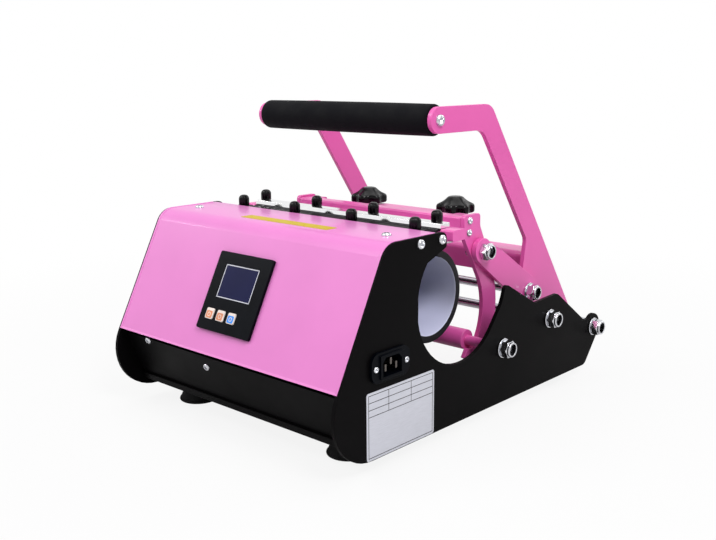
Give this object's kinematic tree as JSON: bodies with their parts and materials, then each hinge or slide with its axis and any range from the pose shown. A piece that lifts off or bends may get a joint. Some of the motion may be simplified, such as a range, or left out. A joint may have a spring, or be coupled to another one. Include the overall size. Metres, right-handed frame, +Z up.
{
  "type": "mug heat press",
  "caption": "Benchtop mug and tumbler heat press: sloping control box, toggle handle with a foam grip, and a round heating mat between two side plates.",
  "frame": {"origin": "on the floor, under the middle of the press with its handle closed", "axes": "+Z up, -Y towards the user and the control panel, +X towards the side with the power inlet"},
  "size_m": [0.3454, 0.4426, 0.3135],
  "materials": {
    "pink_cover": "smooth semi-gloss paint",
    "pink_steel": "smooth semi-gloss paint",
    "black_steel": "black semi-gloss paint",
    "black_plastic": "moulded, glossy",
    "bright_steel": "bright zinc plate",
    "grip_core": "drawn bar",
    "rubber": "matt",
    "foam": "closed-cell foam",
    "silicone": "smooth moulded silicone",
    "screen": "clear window over a dark display",
    "orange_plastic": "moulded key",
    "blue_plastic": "moulded key"
  },
  "bodies": {
    "frame": {"side_plate_right": "black_steel", "side_plate_left": "black_steel", "controller_bezel": "black_plastic", "controller_screen": "screen", "control_box_cover": "pink_cover", "base_pan": "black_steel", "power_inlet": "black_plastic", "front_foot_right": "rubber", "front_foot_left": "rubber", "rear_foot_right": "rubber", "rear_foot_left": "rubber", "clamp_pivot_shaft": "bright_steel", "handle_pivot_shaft": "bright_steel", "stop_rod": "bright_steel", "clamp_pivot_nut_right": "bright_steel", "clamp_pivot_nut_left": "bright_steel", "handle_pivot_nut_right": "bright_steel", "handle_pivot_nut_left": "bright_steel", "stop_rod_nut_right": "bright_steel", "stop_rod_nut_left": "bright_steel", "front_mat_bracket": "pink_cover", "front_clamp_strip": "black_steel", "front_clamp_screw_1": "black_plastic", "front_clamp_screw_2": "black_plastic", "front_clamp_screw_3": "black_plastic", "front_clamp_screw_4": "black_plastic", "heating_mat": "silicone"},
    "handle": {"handle_arm_right": "pink_steel", "handle_arm_left": "pink_steel", "grip_core": "grip_core", "foam_grip": "foam", "grip_screw_right": "bright_steel", "grip_screw_left": "bright_steel", "handle_brace": "pink_steel"},
    "links": {"link_plate_right": "pink_steel", "link_plate_left": "pink_steel", "link_rod": "bright_steel", "link_rod_nut_right": "bright_steel", "link_rod_nut_left": "bright_steel"},
    "clamp_frame": {"mat_rear_flap": "silicone", "clamp_cheek_right": "pink_steel", "clamp_cheek_left": "pink_steel", "clamp_top_bar": "pink_steel", "clamp_pivot_tube": "pink_steel", "rear_clamp_pad": "pink_steel", "pad_carrier": "bright_steel", "rear_clamp_strip": "bright_steel", "rear_clamp_screw_1": "black_plastic", "rear_clamp_screw_2": "black_plastic", "rear_clamp_screw_3": "black_plastic", "rear_clamp_screw_4": "black_plastic", "link_bolt_right": "bright_steel", "link_bolt_left": "bright_steel", "link_bolt_nut_right": "bright_steel", "link_bolt_nut_left": "bright_steel"},
    "star_knob_right": {"star_knob_right": "black_plastic"},
    "star_knob_left": {"star_knob_left": "black_plastic"},
    "timer_button": {"timer_button": "orange_plastic"},
    "set_button": {"set_button": "orange_plastic"},
    "start_button": {"start_button": "blue_plastic"}
  },
  "joints": [
    {"name": "handle_hinge", "type": "hinge", "parent": "frame", "child": "handle", "pos_m": [0, 0.2017, 0.0555], "axis": [-1, 0, 0], "range_deg": [0, 36]},
    {"name": "clamp_hinge", "type": "hinge", "parent": "frame", "child": "clamp_frame", "pos_m": [0, 0.0212, 0.071], "axis": [-1, 0, 0], "range_deg": [0, 18.26]},
    {"name": "link_hinge", "type": "hinge", "parent": "handle", "child": "links", "pos_m": [0, 0.1187, 0.106], "axis": [1, 0, 0], "range_deg": [0, 63.22]},
    {"name": "star_knob_turn_right", "type": "hinge", "parent": "clamp_frame", "child": "star_knob_right", "pos_m": [0.063, 0.0687, 0.1915], "axis": [0, 0, 1], "continuous": true},
    {"name": "star_knob_turn_left", "type": "hinge", "parent": "clamp_frame", "child": "star_knob_left", "pos_m": [-0.063, 0.0687, 0.1915], "axis": [0, 0, 1], "continuous": true},
    {"name": "timer_press", "type": "slide", "parent": "frame", "child": "timer_button", "axis": [0, 0.8902, -0.4555], "range_m": [0, 0.0012], "stiffness_N_per_m": 400},
    {"name": "set_press", "type": "slide", "parent": "frame", "child": "set_button", "axis": [0, 0.8902, -0.4555], "range_m": [0, 0.0012], "stiffness_N_per_m": 400},
    {"name": "start_press", "type": "slide", "parent": "frame", "child": "start_button", "axis": [0, 0.8902, -0.4555], "range_m": [0, 0.0012], "stiffness_N_per_m": 400}
  ],
  "couplings": [
    {"joint": "clamp_hinge", "follows": "handle_hinge", "ratio": 0.5072},
    {"joint": "link_hinge", "follows": "handle_hinge", "ratio": 1.7561}
  ]
}
